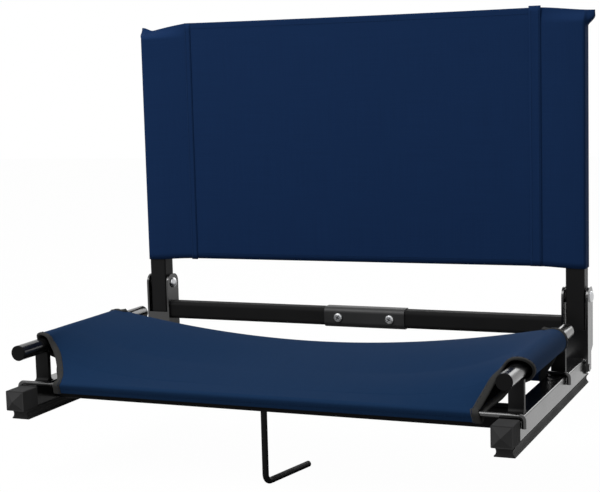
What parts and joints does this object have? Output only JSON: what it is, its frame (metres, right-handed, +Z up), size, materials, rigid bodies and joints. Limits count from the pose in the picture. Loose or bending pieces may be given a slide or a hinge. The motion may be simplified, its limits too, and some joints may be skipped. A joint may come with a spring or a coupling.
{
  "type": "folding stadium chair",
  "caption": "Low folding stadium chair: black tube base on rubber runners, a hook that holds a bench plank, a slung fabric seat and a fabric back that folds forward.",
  "frame": {"origin": "Where the hook's shank crosses the bench top, which is the plane of the two runner soles. The chair's middle is 12 mm to the right of it.", "axes": "+X across the chair to the right as seen from the front, +Y from the front of the seat to the back, +Z up."},
  "size_m": [0.5816, 0.3694, 0.509],
  "materials": {
    "black_steel": "gloss black powder coat",
    "dark_steel": "satin dark grey coat",
    "black_plastic": "moulded matte black",
    "black_rubber": "matte black extrusion",
    "navy_back": "coated woven polyester, navy",
    "navy_seat": "coated woven polyester, navy",
    "zinc": "bright zinc plate",
    "nylon": "turned black nylon"
  },
  "bodies": {
    "base": {"rail_left": "black_steel", "rail_right": "black_steel", "front_crossbar": "black_steel", "seat_post_front_left": "black_steel", "seat_post_front_right": "black_steel", "seat_post_rear_left": "black_steel", "seat_post_rear_right": "black_steel", "seat_tube_left": "black_steel", "seat_tube_right": "black_steel", "hem_rod_front": "black_steel", "hem_rod_rear": "black_steel", "hinge_bracket_left": "black_steel", "hinge_bracket_right": "black_steel", "rear_crossbar_left": "black_steel", "rear_crossbar_right": "black_steel", "bracket_rivets": "black_steel", "splice_channel": "dark_steel", "rail_nose_left": "black_plastic", "rail_nose_right": "black_plastic", "rail_plug_left": "black_plastic", "rail_plug_right": "black_plastic", "seat_tube_plugs": "black_plastic", "runner_left": "black_rubber", "runner_right": "black_rubber", "seat_cover": "navy_seat", "runner_screws": "zinc", "pivot_rivets": "zinc", "splice_bolts": "zinc", "splice_nuts": "zinc", "hinge_spacers": "nylon", "hook_bushes": "nylon"},
    "backrest": {"upright_left": "black_steel", "upright_right": "black_steel", "upright_top_plugs": "black_plastic", "upright_foot_plugs": "black_plastic", "back_cover": "navy_back"},
    "hook": {"hook": "black_steel", "hook_washer": "zinc", "hook_clip": "zinc"}
  },
  "joints": [
    {"name": "back_fold", "type": "hinge", "parent": "base", "child": "backrest", "pos_m": [0.012, 0.2625, 0.104], "axis": [1, 0, 0], "range_deg": [0, 90]},
    {"name": "hook_swivel", "type": "hinge", "parent": "base", "child": "hook", "pos_m": [0, 0, 0], "axis": [0, 0, 1], "continuous": true}
  ]
}
